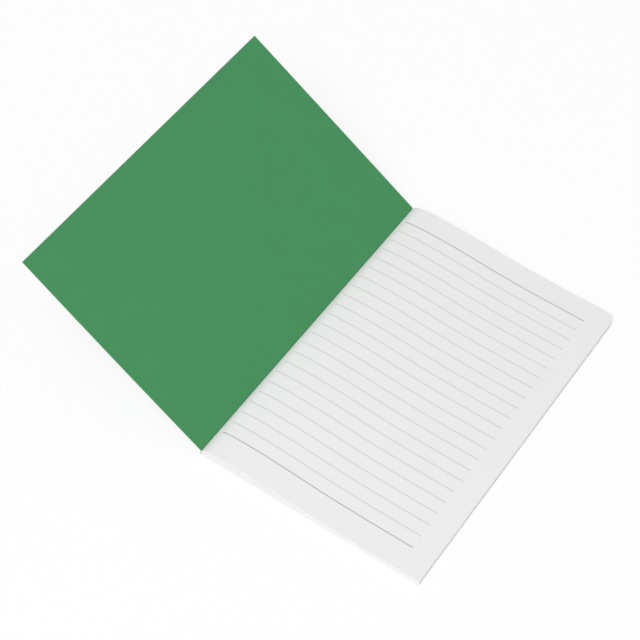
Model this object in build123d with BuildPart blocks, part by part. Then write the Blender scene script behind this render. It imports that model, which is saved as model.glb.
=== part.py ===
from build123d import *
import os
from math import cos, radians, sin

# A thin writing notebook of half-letter size, bound with two wire staples through the fold.
# One sheet of card makes both covers and the narrow round spine between them, and the leaves
# are folded sheets nested inside it. The notebook lies on its back cover, open at the first
# page. The spring of the folds lifts the leaves into a swell beside the spine, and the
# stiff front cover stands up from its crease.
# X runs from the spine to the fore edge, Y from the foot to the head and Z up. The origin is
# the centre of the back cover's underside.

# Leaves
leaf_height = 215.9
leaf_count = 40
leaf_thickness = 0.089
corner_radius = 5.0

# Card cover: both panels are the same, measured from their creases to the fore edge
card = 0.3
cover_panel = 138.2
front_lift_angle = 31.2

# Spine: the height between the creases, how far the card bows out behind them,
# and the clear ring that lets a panel turn in its crease
crease_rise = 2.95
spine_bow = 0.35
crease_clearance = 0.3
fold_clearance = 0.15
rest_clearance = 0.1

# Fold of the leaves: the nose reaches into the spine, its foot and its shoulder lie in from it
nose_foot = 1.5
nose_shoulder = 1.45
shoulder_drop = 0.8

# Swell of the leaves beside the spine
swell_height = 3.35
swell_crest = 19.5
swell_run = 98.5

# Where the steep rise eases off: shares of the way from shoulder to crest, along and up
knee_run_share = 0.5
knee_climb_share = 0.86

# Where the fall turns from hollow to round: share of the way from crest to flat
turn_share = 0.4

# Staples of round wire: the crown lies just clear of the card, the legs are clear of their holes
wire_radius = 0.25
staple_crown = 12.0
staple_spread = 108.0
clinch_length = 4.5
wire_clearance = 0.05
crown_clearance = 0.1

# Heights and places that follow from the sizes
leaf_stack = leaf_count * leaf_thickness
back_crease_x = -cover_panel / 2
back_crease_z = card / 2
front_crease_x = back_crease_x
front_crease_z = back_crease_z + crease_rise
spine_middle_z = back_crease_z + crease_rise / 2
spine_back_x = back_crease_x - spine_bow
fore_edge_x = cover_panel / 2
stack_foot_z = card + rest_clearance
stack_top_z = stack_foot_z + leaf_stack
nose_x = spine_back_x + card / 2 + fold_clearance
nose_foot_x = nose_x + nose_foot
shoulder_x = nose_x + nose_shoulder
shoulder_z = stack_top_z - shoulder_drop
crest_x = nose_x + swell_crest
crest_z = stack_top_z + swell_height
flat_x = nose_x + swell_run
knee_x = shoulder_x + knee_run_share * (crest_x - shoulder_x)
knee_z = shoulder_z + knee_climb_share * (crest_z - shoulder_z)
turn_x = crest_x + turn_share * (flat_x - crest_x)
turn_z = crest_z - turn_share * swell_height
ring_radius = card / 2 + crease_clearance

# The staple's wire lies in the plane half way up the spine
crown_x = spine_back_x - card / 2 - crown_clearance - wire_radius
clinch_x = nose_x + leaf_stack / 2 + wire_radius


def staple_wire(middle_y, radius):
    """One staple about middle_y: a crown behind the spine and two legs bent in towards each other."""
    half_crown = staple_crown / 2
    with BuildPart(mode=Mode.PRIVATE) as wire:
        with BuildLine(Plane.XY.offset(spine_middle_z)) as route:
            Polyline(
                (clinch_x, middle_y - half_crown + clinch_length),
                (clinch_x, middle_y - half_crown),
                (crown_x, middle_y - half_crown),
                (crown_x, middle_y + half_crown),
                (clinch_x, middle_y + half_crown),
                (clinch_x, middle_y + half_crown - clinch_length),
            )
        with BuildSketch(Plane(route.line @ 0, z_dir=route.line % 0)):
            Circle(radius)
        sweep(transition=Transition.RIGHT)
    return wire.part


staple_places = (-staple_spread / 2, staple_spread / 2)

# Back cover: a flat panel of card with a round edge at its crease
with BuildPart() as back_cover:
    with BuildSketch(Plane.XZ):
        with Locations((back_crease_x, back_crease_z)):
            Rectangle(cover_panel, card, align=(Align.MIN, Align.CENTER))
            Circle(card / 2)
    extrude(amount=leaf_height / 2, both=True)
    head_corner = back_cover.edges().filter_by(Axis.Z).sort_by(Axis.Y)[-2:].sort_by(Axis.X)[-1]
    fillet(head_corner, radius=corner_radius)

# Spine: the strip of card between the two creases, bowed out over the fold of the leaves
with BuildPart() as cover_spine:
    with BuildSketch(Plane.XZ):
        with BuildLine():
            ThreePointArc(
                (back_crease_x, back_crease_z),
                (spine_back_x, spine_middle_z),
                (front_crease_x, front_crease_z),
            )
        trace(line_width=card)
        with Locations((back_crease_x, back_crease_z), (front_crease_x, front_crease_z)):
            Circle(ring_radius, mode=Mode.SUBTRACT)
    extrude(amount=leaf_height / 2, both=True)
    for staple_y in staple_places:
        add(staple_wire(staple_y, wire_radius + wire_clearance), mode=Mode.SUBTRACT)

# Front cover: the same card, stiff and flat, standing up from its crease
front_section = Plane(
    origin=(front_crease_x, 0, front_crease_z),
    x_dir=(-cos(radians(front_lift_angle)), 0, sin(radians(front_lift_angle))),
    z_dir=(0, -1, 0),
)
with BuildPart() as front_cover:
    with BuildSketch(front_section):
        Rectangle(cover_panel, card, align=(Align.MIN, Align.CENTER))
        Circle(card / 2)
    extrude(amount=leaf_height / 2, both=True)

# Leaves: one closed block whose section has the round nose of the folds, the steep rise where
# the top leaf leaves the spine, the swell's crest and its long fall to the flat, in tangent arcs
with BuildPart() as page_block:
    with BuildSketch(Plane.XZ):
        with BuildLine():
            ThreePointArc(
                (nose_foot_x, stack_foot_z),
                (nose_x, spine_middle_z),
                (shoulder_x, shoulder_z),
            )
            easing = TangentArc((crest_x, crest_z), (knee_x, knee_z), tangent=(-1, 0))
            TangentArc(easing @ 1, (shoulder_x, shoulder_z), tangent=easing % 1)
            rounding = TangentArc((crest_x, crest_z), (turn_x, turn_z), tangent=(1, 0))
            TangentArc(rounding @ 1, (flat_x, stack_top_z), tangent=rounding % 1)
            Polyline(
                (flat_x, stack_top_z),
                (fore_edge_x, stack_top_z),
                (fore_edge_x, stack_foot_z),
                (nose_foot_x, stack_foot_z),
            )
        make_face()
    extrude(amount=leaf_height / 2, both=True)
    head_corner = page_block.edges().filter_by(Axis.Z).sort_by(Axis.Y)[-1]
    fillet(head_corner, radius=corner_radius)
    for staple_y in staple_places:
        add(staple_wire(staple_y, wire_radius + wire_clearance), mode=Mode.SUBTRACT)

# Staples: two pieces of bent wire
with BuildPart() as staples:
    for staple_y in staple_places:
        add(staple_wire(staple_y, wire_radius))

back_cover.part.label = "back_cover"
cover_spine.part.label = "cover_spine"
front_cover.part.label = "front_cover"
page_block.part.label = "page_block"
staples.part.label = "staples"

os.makedirs("parts", exist_ok=True)
export_step(back_cover.part, "parts/back_cover.step")
export_step(cover_spine.part, "parts/cover_spine.step")
export_step(front_cover.part, "parts/front_cover.step")
export_step(page_block.part, "parts/page_block.step")
export_step(staples.part, "parts/staples.step")
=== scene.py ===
"""A thin stapled notebook of half-letter size, lying open at its first ruled page."""
import math

import bmesh
import bpy
import numpy as np
from mathutils import Matrix, Vector


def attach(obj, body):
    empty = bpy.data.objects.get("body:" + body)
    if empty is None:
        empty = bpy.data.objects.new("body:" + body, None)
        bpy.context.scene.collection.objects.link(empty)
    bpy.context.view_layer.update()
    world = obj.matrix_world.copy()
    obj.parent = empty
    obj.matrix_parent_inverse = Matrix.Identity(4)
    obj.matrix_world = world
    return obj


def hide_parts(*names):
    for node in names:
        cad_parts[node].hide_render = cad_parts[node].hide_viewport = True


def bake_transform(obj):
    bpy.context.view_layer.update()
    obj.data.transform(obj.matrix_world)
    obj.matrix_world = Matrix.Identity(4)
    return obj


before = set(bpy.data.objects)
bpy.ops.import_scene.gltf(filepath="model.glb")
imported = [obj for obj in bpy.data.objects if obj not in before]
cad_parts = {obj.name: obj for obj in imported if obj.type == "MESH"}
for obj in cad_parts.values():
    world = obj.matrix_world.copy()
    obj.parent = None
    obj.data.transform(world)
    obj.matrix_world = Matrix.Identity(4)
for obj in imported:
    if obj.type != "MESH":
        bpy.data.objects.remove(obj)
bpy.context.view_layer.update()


# ---------------------------------------------------------------- Camera
# A long lens looks down on the notebook from beyond its fore edge and foot, and is
# held a little out of level, so the spine runs across the picture.
camera_place = Vector((0.2555, -0.59307, 0.86865))
camera_azimuth = 28.341
camera_elevation = 51.898
camera_roll = 6.584
camera_lens = 109.188

camera_data = bpy.data.cameras.new("camera")
camera_data.lens = camera_lens
camera_data.sensor_width = 36.0
camera_data.clip_start = 0.01
camera_data.clip_end = 50.0
camera = bpy.data.objects.new("camera", camera_data)
bpy.context.scene.collection.objects.link(camera)
camera.matrix_world = (
    Matrix.Translation(camera_place)
    @ Matrix.Rotation(math.radians(camera_azimuth), 4, "Z")
    @ Matrix.Rotation(math.radians(90.0 - camera_elevation), 4, "X")
    @ Matrix.Rotation(math.radians(camera_roll), 4, "Z")
)
bpy.context.scene.camera = camera


# ---------------------------------------------------------------- Leaves
# Twenty sheets of white writing paper are folded once and nested, which makes forty leaves.
# The fold sits in the spine and its spring lifts the leaves into a swell beside it, where
# they stand a little apart, until the cover presses them down. Three sides were trimmed.
mm = 0.001
leaf_height = 215.9
sheet_count = 20
leaf_thickness = 0.089
fore_edge_x = 69.1
stack_foot_z = 0.32
stack_top_z = 3.96
front_crease = np.array([-69.1, 3.1])
nose = (-69.15, 1.625)
nose_foot = (-68.35, 0.32)
shoulder = (-68.75, 2.95)
knee = (-62.45, 6.55)
crest = (-49.65, 7.31)
turn = (-18.05, 5.97)
flat = (29.35, 3.96)
corner_radius = 5.0
corner_reach = 24.0
fold_x = -67.2
fold_rounding = 0.5
least_step = 0.02
merge_reach = 1e-7
sharp_angle = math.radians(40.0)


def tangent_arc(start, end, tangent, count):
    """Points on the circle that leaves start along tangent and passes through end.

    With n the unit normal of the tangent and d = end - start, the signed radius is
    |d|^2 / (2 d.n), the centre is start + radius n, and the points lie at even angles.
    """
    start, end = np.array(start), np.array(end)
    tangent = np.array(tangent) / np.hypot(*tangent)
    normal = np.array([-tangent[1], tangent[0]])
    step = end - start
    radius = (step @ step) / (2.0 * (step @ normal))
    centre = start + radius * normal
    first = math.atan2(*(start - centre)[::-1])
    last = math.atan2(*(end - centre)[::-1])
    sweep = (last - first + math.pi) % (2.0 * math.pi) - math.pi
    angle = first + sweep * np.linspace(0.0, 1.0, count)
    points = centre + abs(radius) * np.stack([np.cos(angle), np.sin(angle)], axis=1)
    end_tangent = np.sign(radius) * np.array([-math.sin(last), math.cos(last)])
    return points, end_tangent


def circle_through(start, middle, end, count):
    """Points at even angles on the circle through three points, from start over middle to end.

    The centre c solves |p - c| = |start - c| for the middle and the end point.
    """
    start, middle, end = np.array(start), np.array(middle), np.array(end)
    chords = np.array([middle - start, end - start])
    squares = np.array([middle @ middle - start @ start, end @ end - start @ start])
    centre = np.linalg.solve(2.0 * chords, squares)
    at = [math.atan2(*(point - centre)[::-1]) for point in (start, middle, end)]
    full_turn = 2.0 * math.pi
    forward = (at[1] - at[0]) % full_turn < (at[2] - at[0]) % full_turn
    turn_sign = 1.0 if forward else -1.0
    sweep = turn_sign * ((turn_sign * (at[2] - at[0])) % full_turn)
    angle = at[0] + sweep * np.linspace(0.0, 1.0, count)
    radius = np.hypot(*(start - centre))
    return centre + radius * np.stack([np.cos(angle), np.sin(angle)], axis=1)


def bend(before, corner, after, count):
    """Points of the quadratic curve (1-t)^2 before + 2t(1-t) corner + t^2 after."""
    t = np.linspace(0.0, 1.0, count)[:, None]
    return (1 - t) ** 2 * before + 2 * t * (1 - t) * corner + t**2 * after


def grid_faces(rows, columns, first):
    """Quads of a grid of rows x columns points, numbered row by row from first."""
    corner = first + (np.arange(rows - 1)[:, None] * columns + np.arange(columns - 1)).ravel()
    return np.stack([corner, corner + 1, corner + columns + 1, corner + columns], axis=1)


def closed_mesh(name, grids):
    """One closed mesh from grids of points in millimetres that share their border points.

    grids holds (points, material index, attribute) with points of shape (rows, columns, 3).
    The border points are merged, flat faces go, and the normals are turned outwards.
    """
    places, quads, slots, values, first = [], [], [], [], 0
    for points, slot, value in grids:
        rows, columns = points.shape[:2]
        places.append(points.reshape(-1, 3))
        values.append(np.broadcast_to(value, (rows, columns)).ravel())
        faces = grid_faces(rows, columns, first)
        quads.append(faces)
        slots.append(np.full(len(faces), slot))
        first += rows * columns
    mesh = bpy.data.meshes.new(name)
    mesh.from_pydata((np.concatenate(places) * mm).tolist(), [], np.concatenate(quads).tolist())
    mesh.polygons.foreach_set("material_index", np.concatenate(slots).astype(np.int32))
    attribute = mesh.attributes.new("layer", "FLOAT", "POINT")
    attribute.data.foreach_set("value", np.concatenate(values).astype(np.float32))
    work = bmesh.new()
    work.from_mesh(mesh)
    bmesh.ops.remove_doubles(work, verts=work.verts, dist=merge_reach)
    bmesh.ops.dissolve_degenerate(work, edges=work.edges, dist=merge_reach)
    bmesh.ops.recalc_face_normals(work, faces=work.faces)
    work.to_mesh(mesh)
    work.free()
    mesh.polygons.foreach_set("use_smooth", np.ones(len(mesh.polygons), dtype=bool))
    mesh.set_sharp_from_angle(angle=sharp_angle)
    mesh.update()
    piece = bpy.data.objects.new(name, mesh)
    bpy.context.scene.collection.objects.link(piece)
    return piece


def head_corner_cut(x, y):
    """How far x moves in at height y for the rounded fore corner at the head: the arc's
    sagitta, eased in along the last stretch before the fore edge."""
    up = np.clip((y - (leaf_height / 2 - corner_radius)) / corner_radius, 0.0, 1.0)
    sagitta = corner_radius * (1.0 - np.sqrt(1.0 - up**2))
    return sagitta * np.clip((x - fore_edge_x + corner_reach) / corner_reach, 0.0, 1.0)


# Places along the length, closer together where the head corner is rounded
length_steps = 45
rounding_angles = np.radians(np.linspace(0.0, 90.0, 13))
rounding_start_y = leaf_height / 2 - corner_radius
length_samples = np.concatenate(
    [
        np.linspace(-leaf_height / 2, rounding_start_y, length_steps)[:-1],
        rounding_start_y + corner_radius * np.sin(rounding_angles),
    ]
)

# The outline of the section goes from the fore edge over the swell and round the nose of the
# fold to the underside, which has the same x as the top from the nose's foot on
flat_steps, fall_steps, crest_steps = 22, 26, 20
knee_steps, rise_steps, nose_steps, rounding_steps = 16, 20, 33, 9
flat_x = np.linspace(fore_edge_x, flat[0], flat_steps)
flat_run = np.stack([flat_x, np.full(flat_steps, stack_top_z)], axis=1)
crest_to_turn, turn_tangent = tangent_arc(crest, turn, (1.0, 0.0), crest_steps)
turn_to_flat = tangent_arc(turn, flat, turn_tangent, fall_steps)[0]
crest_to_knee, knee_tangent = tangent_arc(crest, knee, (-1.0, 0.0), knee_steps)
knee_to_shoulder, shoulder_tangent = tangent_arc(knee, shoulder, knee_tangent, rise_steps)
shoulder_rise = np.array(shoulder) - fold_rounding * shoulder_tangent
before_rise = knee_to_shoulder[1:, 0] > shoulder_rise[0] + least_step
top_run = np.concatenate(
    [
        flat_run,
        turn_to_flat[::-1][1:],
        crest_to_turn[::-1][1:],
        crest_to_knee[1:],
        knee_to_shoulder[1:][before_rise],
        [shoulder_rise],
    ]
)
nose_circle = circle_through(shoulder, nose, nose_foot, nose_steps)
nose_circle = nose_circle[np.hypot(*(nose_circle - shoulder).T) > fold_rounding]
nose_circle = nose_circle[np.hypot(*(nose_circle - nose_foot).T) > fold_rounding]
foot_end = np.array([nose_foot[0] + fold_rounding, stack_foot_z])
nose_run = np.concatenate(
    [
        bend(shoulder_rise, np.array(shoulder), nose_circle[0], rounding_steps),
        nose_circle[1:],
        bend(nose_circle[-1], np.array(nose_foot), foot_end, rounding_steps)[1:],
    ]
)
under_x = np.maximum(top_run[::-1, 0], foot_end[0])
under_run = np.stack([under_x, np.full(len(top_run), stack_foot_z)], axis=1)
outline = np.concatenate([top_run, nose_run[1:], under_run])

# Every sheet follows the outline at its own share of the way in to the middle of the block,
# which ends at the innermost fold. Paper and gap share the space between two sheets.
least_paper_share, most_paper_share = 0.35, 0.86
middle_x = np.maximum(top_run[:, 0], fold_x)
middle_z = (stack_foot_z + np.interp(middle_x, top_run[::-1, 0], top_run[::-1, 1])) / 2
inner_top = np.stack([middle_x, middle_z], axis=1)
innermost_fold = np.tile(inner_top[-1], (len(nose_run) - 1, 1))
inner = np.concatenate([inner_top, innermost_fold, inner_top[::-1]])
spacing = np.hypot(*(inner - outline).T) / sheet_count
paper_share = np.clip(leaf_thickness / spacing, least_paper_share, most_paper_share)
sheets = np.arange(sheet_count)[:, None]
row_share = np.stack(
    [
        sheets + 0.0 * paper_share,
        sheets + paper_share,
        sheets + (1.0 + paper_share) / 2,
    ],
    axis=1,
).reshape(-1, len(outline))
middle_row = np.full((1, len(outline)), float(sheet_count))
row_share = np.concatenate([row_share, middle_row]) / sheet_count
section = outline + row_share[:, :, None] * (inner - outline)

# The cut edges: each sheet ends a hair from its neighbours, with a fine slit between them
# that is deeper where they stand apart
trim_spread = 0.035
slit_depth = 0.05
slit_growth = 0.5
trim_random = np.random.default_rng(7)
trim = np.concatenate([[0.0], trim_spread * trim_random.random(sheet_count - 1)])
slit = slit_depth + slit_growth * (1.0 - paper_share)
sheet_end = trim[:, None] + 0.0 * slit
recess = np.stack([sheet_end, sheet_end, trim[:, None] + slit], axis=1)
recess = np.concatenate([recess.reshape(-1, len(outline)), slit_depth + 0.0 * slit[None, :]])
layer = np.concatenate([np.repeat(np.arange(sheet_count), 3) + 0.5, [sheet_count - 0.5]])


def block_points(pair, y, end_recess, fore_recess):
    """Points of the block at section places (x, z) and length y, in millimetres, with the
    cut edges drawn in by their recess and the head corner rounded."""
    x, z = pair[..., 0], pair[..., 1]
    y = np.broadcast_to(y, x.shape)
    x = x - fore_recess - head_corner_cut(x, y)
    return np.stack([x, y - np.sign(y) * end_recess, z], axis=-1)


fore_recess = np.zeros(row_share.shape)
fore_recess[:, 0] = recess[:, 0]
fore_recess[:, -1] = recess[:, -1]
at_end = (np.abs(length_samples) > leaf_height / 2 - least_step)[None, :]
skin_top = len(top_run) - 1
skin = block_points(
    np.broadcast_to(outline[:, None, :], (len(outline), len(length_samples), 2)),
    length_samples[None, :],
    0.0,
    0.0,
)
end_caps = [
    block_points(section, np.full(row_share.shape, end * leaf_height / 2), recess, fore_recess)
    for end in (-1.0, 1.0)
]
fore_faces = [
    block_points(
        np.broadcast_to(section[:, edge][:, None, :], (len(section), len(length_samples), 2)),
        length_samples[None, :],
        recess[:, edge][:, None] * at_end,
        fore_recess[:, edge][:, None],
    )
    for edge in (0, -1)
]
leaves = closed_mesh(
    "leaves",
    [
        (skin[: skin_top + 1], 0, 0.5),
        (skin[skin_top:], 1, 0.5),
        (end_caps[0], 2, layer[:, None]),
        (end_caps[1], 2, layer[:, None]),
        (fore_faces[0], 2, layer[:, None]),
        (fore_faces[1], 2, layer[:, None]),
    ],
)


def new_material(name):
    """A material with a bare Principled shader, its tree, and the two nodes joined."""
    material = bpy.data.materials.new(name)
    material.use_nodes = True
    tree = material.node_tree
    tree.nodes.clear()
    shader = tree.nodes.new("ShaderNodeBsdfPrincipled")
    output = tree.nodes.new("ShaderNodeOutputMaterial")
    tree.links.new(shader.outputs["BSDF"], output.inputs["Surface"])
    return material, tree, shader


def wire(tree, source, target):
    """Joins an output socket, or writes a plain value, to an input socket."""
    if isinstance(source, bpy.types.NodeSocket):
        tree.links.new(source, target)
    else:
        target.default_value = source


def math_node(tree, operation, *values, clamp=False):
    """A Math node with its inputs joined or set; gives its output socket."""
    node = tree.nodes.new("ShaderNodeMath")
    node.operation = operation
    node.use_clamp = clamp
    for socket, value in zip(node.inputs, values):
        wire(tree, value, socket)
    return node.outputs[0]


def mix_colour(tree, factor, first, second):
    """A colour mix; gives its output socket."""
    node = tree.nodes.new("ShaderNodeMix")
    node.data_type = "RGBA"
    wire(tree, factor, node.inputs["Factor"])
    wire(tree, first, node.inputs["A"])
    wire(tree, second, node.inputs["B"])
    return node.outputs["Result"]


# Pressed fibre is the same effect in the paper and in the card: slow clouds of tone where the
# pulp lay thicker, and a fine felt of fibres that stands up from the sheet.
cloud_share = 0.6
fibre_roughness = 0.6
fibre_group = bpy.data.node_groups.new("pressed_fibre", "ShaderNodeTree")
for socket_name, socket_kind, direction in (
    ("Place", "NodeSocketVector", "INPUT"),
    ("Cloud scale", "NodeSocketFloat", "INPUT"),
    ("Felt scale", "NodeSocketFloat", "INPUT"),
    ("Tone", "NodeSocketFloat", "OUTPUT"),
    ("Felt", "NodeSocketFloat", "OUTPUT"),
):
    fibre_group.interface.new_socket(socket_name, in_out=direction, socket_type=socket_kind)
fibre_in = fibre_group.nodes.new("NodeGroupInput")
fibre_out = fibre_group.nodes.new("NodeGroupOutput")
cloud = fibre_group.nodes.new("ShaderNodeTexNoise")
felt = fibre_group.nodes.new("ShaderNodeTexNoise")
for texture, scale_socket, detail in ((cloud, "Cloud scale", 4.0), (felt, "Felt scale", 3.0)):
    fibre_group.links.new(fibre_in.outputs["Place"], texture.inputs["Vector"])
    fibre_group.links.new(fibre_in.outputs[scale_socket], texture.inputs["Scale"])
    texture.inputs["Detail"].default_value = detail
    texture.inputs["Roughness"].default_value = fibre_roughness
fibre_tone = math_node(
    fibre_group,
    "ADD",
    math_node(fibre_group, "MULTIPLY", cloud.outputs["Fac"], cloud_share),
    math_node(fibre_group, "MULTIPLY", felt.outputs["Fac"], 1.0 - cloud_share),
)
fibre_group.links.new(fibre_tone, fibre_out.inputs["Tone"])
fibre_group.links.new(felt.outputs["Fac"], fibre_out.inputs["Felt"])


thin_pulp, thick_pulp = 0.3, 0.7
smooth_felt, rough_felt = 0.78, 0.95
felt_height = 0.05 * mm


def pressed_fibre(tree, shader, colour, cloud_scale, felt_scale, spread, bump):
    """Lays the fibre effect over a colour, in the shader's colour, roughness and normal."""
    place = tree.nodes.new("ShaderNodeTexCoord")
    group = tree.nodes.new("ShaderNodeGroup")
    group.node_tree = fibre_group
    tree.links.new(place.outputs["Object"], group.inputs["Place"])
    group.inputs["Cloud scale"].default_value = cloud_scale
    group.inputs["Felt scale"].default_value = felt_scale
    tone = tree.nodes.new("ShaderNodeMapRange")
    tone.inputs["From Min"].default_value = thin_pulp
    tone.inputs["From Max"].default_value = thick_pulp
    tone.inputs["To Min"].default_value = 1.0 - spread
    tone.inputs["To Max"].default_value = 1.0 + spread
    tree.links.new(group.outputs["Tone"], tone.inputs["Value"])
    shade = tree.nodes.new("ShaderNodeVectorMath")
    shade.operation = "SCALE"
    wire(tree, colour, shade.inputs[0])
    tree.links.new(tone.outputs["Result"], shade.inputs["Scale"])
    tree.links.new(shade.outputs["Vector"], shader.inputs["Base Color"])
    raised = tree.nodes.new("ShaderNodeBump")
    raised.inputs["Strength"].default_value = bump
    raised.inputs["Distance"].default_value = felt_height
    tree.links.new(group.outputs["Felt"], raised.inputs["Height"])
    tree.links.new(raised.outputs["Normal"], shader.inputs["Normal"])
    rough = tree.nodes.new("ShaderNodeMapRange")
    rough.inputs["To Min"].default_value = smooth_felt
    rough.inputs["To Max"].default_value = rough_felt
    tree.links.new(group.outputs["Felt"], rough.inputs["Value"])
    tree.links.new(rough.outputs["Result"], shader.inputs["Roughness"])


# The ruling is printed in grey from the gutter to a margin at the fore edge: a dark line at
# the head and one at the foot, with light ones between them in equal spaces.
paper_colour = (0.835, 0.835, 0.835)
paper_fibre = dict(cloud_scale=90.0, felt_scale=2600.0, spread=0.012, bump=0.25)
paper_specular = 0.25
light_rule = (0.655, 0.655, 0.66)
dark_rule = (0.28, 0.28, 0.285)
rule_space = 8.467
rule_spaces = 22
rule_head_y = 93.75
rule_start_x = -65.45
rule_end_x = 55.7
light_rule_width = 0.72
dark_rule_width = 0.46
rule_softness = 0.42

ruled_paper, tree, shader = new_material("ruled_paper")
place = tree.nodes.new("ShaderNodeTexCoord")
axes = tree.nodes.new("ShaderNodeSeparateXYZ")
tree.links.new(place.outputs["Object"], axes.inputs[0])
x_mm = math_node(tree, "MULTIPLY", axes.outputs["X"], 1.0 / mm)
y_mm = math_node(tree, "MULTIPLY", axes.outputs["Y"], 1.0 / mm)
spaces_down = math_node(
    tree, "DIVIDE", math_node(tree, "SUBTRACT", rule_head_y, y_mm), rule_space
)
whole_spaces = math_node(tree, "MAXIMUM", math_node(tree, "ROUND", spaces_down), 0.0)
nearest = math_node(tree, "MINIMUM", whole_spaces, float(rule_spaces))
off_line = math_node(
    tree,
    "MULTIPLY",
    math_node(tree, "ABSOLUTE", math_node(tree, "SUBTRACT", spaces_down, nearest)),
    rule_space,
)
at_head = math_node(tree, "LESS_THAN", nearest, 0.5)
at_foot = math_node(tree, "GREATER_THAN", nearest, rule_spaces - 0.5)
is_dark = math_node(tree, "MAXIMUM", at_head, at_foot)
half_width = math_node(
    tree,
    "MULTIPLY_ADD",
    is_dark,
    (dark_rule_width - light_rule_width) / 2,
    light_rule_width / 2,
)
across = math_node(
    tree,
    "DIVIDE",
    math_node(tree, "SUBTRACT", math_node(tree, "ADD", half_width, rule_softness / 2), off_line),
    rule_softness,
    clamp=True,
)
along = math_node(
    tree,
    "MULTIPLY",
    math_node(tree, "GREATER_THAN", x_mm, rule_start_x),
    math_node(tree, "LESS_THAN", x_mm, rule_end_x),
)
ink = math_node(tree, "MULTIPLY", across, along)
ink_colour = mix_colour(tree, is_dark, (*light_rule, 1.0), (*dark_rule, 1.0))
page_colour = mix_colour(tree, ink, (*paper_colour, 1.0), ink_colour)
pressed_fibre(tree, shader, page_colour, **paper_fibre)
shader.inputs["Specular IOR Level"].default_value = paper_specular

plain_paper, tree, shader = new_material("plain_paper")
pressed_fibre(tree, shader, paper_colour, **paper_fibre)
shader.inputs["Specular IOR Level"].default_value = paper_specular

# Cut edges show the sheets as fine lines, each a shade of its own
darkest_cut = (0.79, 0.79, 0.785)
palest_cut = (0.86, 0.86, 0.86)
cut_paper, tree, shader = new_material("cut_paper")
sheet_layer = tree.nodes.new("ShaderNodeAttribute")
sheet_layer.attribute_name = "layer"
sheet_tone = tree.nodes.new("ShaderNodeTexWhiteNoise")
sheet_tone.noise_dimensions = "1D"
sheet_number = math_node(tree, "FLOOR", sheet_layer.outputs["Fac"])
tree.links.new(sheet_number, sheet_tone.inputs["W"])
cut_colour = mix_colour(
    tree, sheet_tone.outputs["Value"], (*darkest_cut, 1.0), (*palest_cut, 1.0)
)
pressed_fibre(
    tree, shader, cut_colour, cloud_scale=140.0, felt_scale=3200.0, spread=0.02, bump=0.35
)
shader.inputs["Specular IOR Level"].default_value = 0.2

for paper in (ruled_paper, plain_paper, cut_paper):
    leaves.data.materials.append(paper)
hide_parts("page_block")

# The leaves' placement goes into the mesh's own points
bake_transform(leaves)


# ---------------------------------------------------------------- Card cover, front
# One sheet of green card is folded round the leaves. Its front panel is flat and stiff, bends
# in a pressed crease at the top of the spine and stands up from it, and the narrow spine goes
# on round the fold. This piece ends half way down the spine.
card = 0.3
cover_panel = 138.2
front_lift_angle = math.radians(31.2)
back_crease = np.array([front_crease[0], 0.15])
spine_bow = 0.35
crease_bend = 0.3
panel_start = 0.42
foot_corner_lift = 2.1
head_corner_drop = 0.5
plain_steps, spine_steps, crease_steps, panel_steps = 41, 24, 15, 44
spine_middle = (front_crease[0] - spine_bow, (front_crease[1] + back_crease[1]) / 2)


def spine_half(crease, count):
    """Points on the card's middle line from half way up the spine to a crease, on the circle
    that stands upright at the spine's middle."""
    points, tangent = tangent_arc(
        spine_middle, crease, (0.0, math.copysign(1.0, crease[1] - spine_middle[1])), count
    )
    return points, tangent


def card_strip(name, path, rounded):
    """A closed strip of card: the path in x and z is set off to both sides by half the
    thickness along its normals, and carried along the length in y."""
    along = np.gradient(path, axis=0)
    along /= np.hypot(*along.T)[:, None]
    normal = np.stack([-along[:, 1], along[:, 0]], axis=1)
    rim = np.concatenate([path + normal * card / 2, (path - normal * card / 2)[::-1]])
    rim = np.concatenate([rim, rim[:1]])
    plain_lengths = np.linspace(-leaf_height / 2, leaf_height / 2, plain_steps)
    y = length_samples if rounded else plain_lengths

    def carried(pairs, lengths):
        """Points (x, y, z) of the pairs (x, z) at the lengths y, less the rounded corner."""
        x = np.broadcast_to(pairs[..., 0], lengths.shape)
        cut = head_corner_cut(x, lengths) if rounded else 0.0
        return np.stack([x - cut, lengths, np.broadcast_to(pairs[..., 1], lengths.shape)], axis=-1)

    count = len(path)
    faces = carried(rim[:, None, :], np.broadcast_to(y, (len(rim), len(y))))
    ends = [
        carried(
            np.stack([rim[:count], rim[count : 2 * count][::-1]], axis=1),
            np.full((count, 2), end * leaf_height / 2),
        )
        for end in (-1.0, 1.0)
    ]
    return closed_mesh(
        name,
        [
            (faces[:count], 0, 0.0),
            (faces[count - 1 : count + 1], 1, 0.0),
            (faces[count : 2 * count], 0, 0.0),
            (faces[2 * count - 1 :], 1, 0.0),
            (ends[0], 1, 0.0),
            (ends[1], 1, 0.0),
        ],
    )


upper_spine, crease_tangent = spine_half(front_crease, spine_steps)
panel_direction = np.array([-math.cos(front_lift_angle), math.sin(front_lift_angle)])
front_path = np.concatenate(
    [
        upper_spine[np.hypot(*(upper_spine - front_crease).T) > crease_bend],
        bend(
            front_crease - crease_bend * crease_tangent,
            front_crease,
            front_crease + crease_bend * panel_direction,
            crease_steps,
        ),
        front_crease
        + np.linspace(panel_start, cover_panel, panel_steps)[:, None] * panel_direction,
    ]
)
card_front = card_strip("card_front", front_path, rounded=False)


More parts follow.
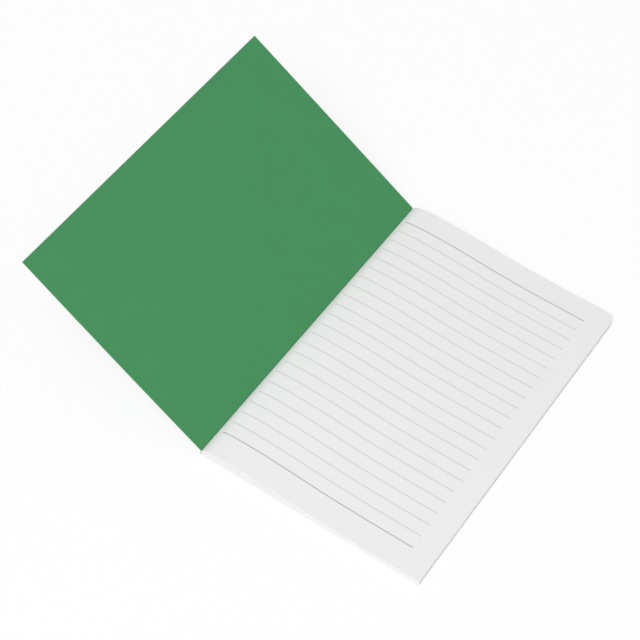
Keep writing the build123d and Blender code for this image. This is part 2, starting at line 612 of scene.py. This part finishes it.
def twist_panel(piece):
    """Gives the panel the slight twist of a card that has been opened often.

    With s the share of the way from crease to fore edge and v that from head to foot, a point
    moves along the panel's normal by s^2 (lift v - drop (1 - v)).
    """
    places = np.empty(3 * len(piece.data.vertices))
    piece.data.vertices.foreach_get("co", places)
    places = places.reshape(-1, 3) / mm
    from_crease = places[:, [0, 2]] - front_crease
    run = np.clip(from_crease @ panel_direction / cover_panel, 0.0, 1.0)
    footward = 0.5 - places[:, 1] / leaf_height
    rise = run**2 * (foot_corner_lift * footward - head_corner_drop * (1.0 - footward))
    places[:, 0] += rise * math.sin(front_lift_angle)
    places[:, 2] += rise * math.cos(front_lift_angle)
    piece.data.vertices.foreach_set("co", (places * mm).ravel())
    piece.data.update()


twist_panel(card_front)

card_colour = (0.062, 0.275, 0.105)
card_cut_colour = (0.70, 0.74, 0.70)
green_card, tree, shader = new_material("green_card")
pressed_fibre(
    tree, shader, card_colour, cloud_scale=60.0, felt_scale=1500.0, spread=0.03, bump=0.5
)
shader.inputs["Specular IOR Level"].default_value = 0.2
cut_card, tree, shader = new_material("cut_card")
pressed_fibre(
    tree, shader, card_cut_colour, cloud_scale=60.0, felt_scale=2500.0, spread=0.06, bump=0.6
)
shader.inputs["Specular IOR Level"].default_value = 0.1

for card_material in (green_card, cut_card):
    card_front.data.materials.append(card_material)
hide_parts("front_cover", "cover_spine")
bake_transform(card_front)


# ---------------------------------------------------------------- Card cover, back
# The same sheet of card goes on from half way down the spine, bends in the lower crease and
# lies flat under the leaves as the back cover. Its head corner was rounded with the leaves.
back_panel_steps = 60
lower_spine, lower_tangent = spine_half(back_crease, spine_steps)
under_direction = np.array([1.0, 0.0])
back_path = np.concatenate(
    [
        lower_spine[np.hypot(*(lower_spine - back_crease).T) > crease_bend],
        bend(
            back_crease - crease_bend * lower_tangent,
            back_crease,
            back_crease + crease_bend * under_direction,
            crease_steps,
        ),
        back_crease
        + np.linspace(panel_start, cover_panel, back_panel_steps)[:, None] * under_direction,
    ]
)
card_back = card_strip("card_back", back_path, rounded=True)
for card_material in (green_card, cut_card):
    card_back.data.materials.append(card_material)
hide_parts("back_cover")
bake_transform(card_back)


# ---------------------------------------------------------------- Staples
# Two staples of round steel wire hold the sheets and the cover together through the fold.
# Their crowns lie along the back of the spine, and their legs are clinched in the middle sheet.
wire_radius = 0.25
crown_half = 6.0
crown_x = -69.95
clinch_x = -67.12
clinch_length = 4.5
wire_bend = 0.6
dome_height = 0.5
dome_steps, bend_steps, wire_around = 5, 9, 20
staple_places = (-54.0, 54.0)


def wire_tube(route, radius, around):
    """A round wire along a route in a level plane: the ring at each point has the angle a and
    lies at route + radius (cos a * side + sin a * up), and each end closes in a small dome."""
    along = np.gradient(route, axis=0)
    along /= np.linalg.norm(along, axis=1)[:, None]
    side = np.stack([-along[:, 1], along[:, 0], 0.0 * along[:, 0]], axis=1)
    up = np.array([0.0, 0.0, 1.0])
    dome = np.radians(np.linspace(90.0, 0.0, dome_steps))
    reach = (np.sin(dome) * radius * dome_height)[:, None]
    first = route[0] - along[0] * reach
    last = route[-1] + along[-1] * reach
    centres = np.concatenate([first, route[1:-1], last[::-1]])
    sides = np.concatenate(
        [np.tile(side[0], (dome_steps, 1)), side[1:-1], np.tile(side[-1], (dome_steps, 1))]
    )
    widths = np.concatenate([np.cos(dome), np.ones(len(route) - 2), np.cos(dome)[::-1]]) * radius
    angle = np.linspace(0.0, 2.0 * math.pi, around + 1)
    angle[-1] = 0.0
    ring = np.cos(angle)[:, None] * sides[:, None, :] + np.sin(angle)[:, None] * up
    return centres[:, None, :] + widths[:, None, None] * ring


def staple_route(middle):
    """The wire's middle line: straight runs joined by quadratic bends at the four corners."""
    corners = np.array(
        [
            [clinch_x, middle - crown_half + clinch_length],
            [clinch_x, middle - crown_half],
            [crown_x, middle - crown_half],
            [crown_x, middle + crown_half],
            [clinch_x, middle + crown_half],
            [clinch_x, middle + crown_half - clinch_length],
        ]
    )
    runs = [corners[:1]]
    for before, corner, after in zip(corners[:-2], corners[1:-1], corners[2:]):
        into = (corner - before) / np.linalg.norm(corner - before)
        out = (after - corner) / np.linalg.norm(after - corner)
        runs.append(
            bend(corner - wire_bend * into, corner, corner + wire_bend * out, bend_steps)
        )
    runs.append(corners[-1:])
    flat_route = np.concatenate(runs)
    return np.concatenate([flat_route, np.full((len(flat_route), 1), nose[1])], axis=1)


staples = closed_mesh(
    "staple_wire",
    [
        (wire_tube(staple_route(middle), wire_radius, wire_around), 0, 0.0)
        for middle in staple_places
    ],
)

# Drawing through the die leaves fine streaks along the crown
streak_scale = (9000.0, 400.0, 9000.0)
smooth_steel, rough_steel = 0.24, 0.46
dark_steel, pale_steel = (0.52, 0.52, 0.54), (0.68, 0.68, 0.70)
steel, tree, shader = new_material("drawn_steel")
place = tree.nodes.new("ShaderNodeTexCoord")
stretch = tree.nodes.new("ShaderNodeMapping")
stretch.inputs["Scale"].default_value = streak_scale
tree.links.new(place.outputs["Object"], stretch.inputs["Vector"])
streaks = tree.nodes.new("ShaderNodeTexNoise")
streaks.inputs["Scale"].default_value = 1.0
streaks.inputs["Detail"].default_value = 2.0
streaks.inputs["Roughness"].default_value = 0.55
tree.links.new(stretch.outputs["Vector"], streaks.inputs["Vector"])
steel_rough = tree.nodes.new("ShaderNodeMapRange")
steel_rough.inputs["To Min"].default_value = smooth_steel
steel_rough.inputs["To Max"].default_value = rough_steel
tree.links.new(streaks.outputs["Fac"], steel_rough.inputs["Value"])
tree.links.new(steel_rough.outputs["Result"], shader.inputs["Roughness"])
steel_colour = mix_colour(
    tree, streaks.outputs["Fac"], (*dark_steel, 1.0), (*pale_steel, 1.0)
)
tree.links.new(steel_colour, shader.inputs["Base Color"])
shader.inputs["Metallic"].default_value = 1.0
staples.data.materials.append(steel)
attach(staples, "leaves")
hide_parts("staples")


# ---------------------------------------------------------------- Table and light
# A plain white table under soft studio light: an even white surround, and one broad lamp
# from the foot of the notebook that keeps the fore edge in shade.
table_half = 4.0
table_colour = (0.95, 0.95, 0.95)
table_shadow_share = 0.2
lamp_distance = 4.0
lamp_size = 2.4
lamp_elevation = math.radians(54.0)
lamp_azimuth = math.radians(6.0)
lamp_power = 111.0
surround_strength = 0.48

table_mesh = bpy.data.meshes.new("table")
table_corners = table_half * np.array([(-1, -1, 0), (1, -1, 0), (1, 1, 0), (-1, 1, 0)])
table_mesh.from_pydata(table_corners.tolist(), [], [(0, 1, 2, 3)])
table = bpy.data.objects.new("table", table_mesh)
bpy.context.scene.collection.objects.link(table)


def background_seen(tree):
    """1 where the camera looks, straight or by a gloss or a clear surface, and 0 for light."""
    rays = tree.nodes.new("ShaderNodeLightPath")
    by_surface = math_node(
        tree, "MAXIMUM", rays.outputs["Is Glossy Ray"], rays.outputs["Is Transmission Ray"]
    )
    return math_node(tree, "MAXIMUM", rays.outputs["Is Camera Ray"], by_surface)


# The camera sees the white surround through the table, under a share of the table's shadows.
# From below the table is clear, so leaves turned over the back cover's edge show beneath it.
table_white = bpy.data.materials.new("table_white")
table_white.use_nodes = True
tree = table_white.node_tree
tree.nodes.clear()
matte = tree.nodes.new("ShaderNodeBsdfDiffuse")
matte.inputs["Color"].default_value = (*table_colour, 1.0)
clear = tree.nodes.new("ShaderNodeBsdfTransparent")
table_side = tree.nodes.new("ShaderNodeNewGeometry")
from_above = math_node(tree, "MULTIPLY", background_seen(tree), 1.0 - table_shadow_share)
clear_share = math_node(tree, "MAXIMUM", from_above, table_side.outputs["Backfacing"])
table_mix = tree.nodes.new("ShaderNodeMixShader")
tree.links.new(clear_share, table_mix.inputs["Fac"])
tree.links.new(matte.outputs["BSDF"], table_mix.inputs[1])
tree.links.new(clear.outputs["BSDF"], table_mix.inputs[2])
output = tree.nodes.new("ShaderNodeOutputMaterial")
tree.links.new(table_mix.outputs["Shader"], output.inputs["Surface"])
table.data.materials.append(table_white)

lamp_data = bpy.data.lights.new("lamp", "AREA")
lamp_data.shape = "SQUARE"
lamp_data.size = lamp_size
lamp_data.energy = lamp_power
lamp = bpy.data.objects.new("lamp", lamp_data)
bpy.context.scene.collection.objects.link(lamp)
lamp_direction = Vector(
    (
        math.cos(lamp_elevation) * math.sin(lamp_azimuth),
        -math.cos(lamp_elevation) * math.cos(lamp_azimuth),
        math.sin(lamp_elevation),
    )
)
lamp.location = lamp_direction * lamp_distance
lamp.rotation_euler = lamp_direction.to_track_quat("Z", "Y").to_euler()

# The surround lights the notebook evenly, and is white where the camera sees it
world = bpy.data.worlds.new("surround")
bpy.context.scene.world = world
world.use_nodes = True
tree = world.node_tree
tree.nodes.clear()
even = tree.nodes.new("ShaderNodeBackground")
even.inputs["Color"].default_value = (1.0, 1.0, 1.0, 1.0)
even.inputs["Strength"].default_value = surround_strength
white = tree.nodes.new("ShaderNodeBackground")
white.inputs["Color"].default_value = (1.0, 1.0, 1.0, 1.0)
white.inputs["Strength"].default_value = 1.0
surround_mix = tree.nodes.new("ShaderNodeMixShader")
tree.links.new(background_seen(tree), surround_mix.inputs["Fac"])
tree.links.new(even.outputs["Background"], surround_mix.inputs[1])
tree.links.new(white.outputs["Background"], surround_mix.inputs[2])
output = tree.nodes.new("ShaderNodeOutputWorld")
tree.links.new(surround_mix.outputs["Shader"], output.inputs["Surface"])
bpy.context.scene.view_settings.view_transform = "Standard"
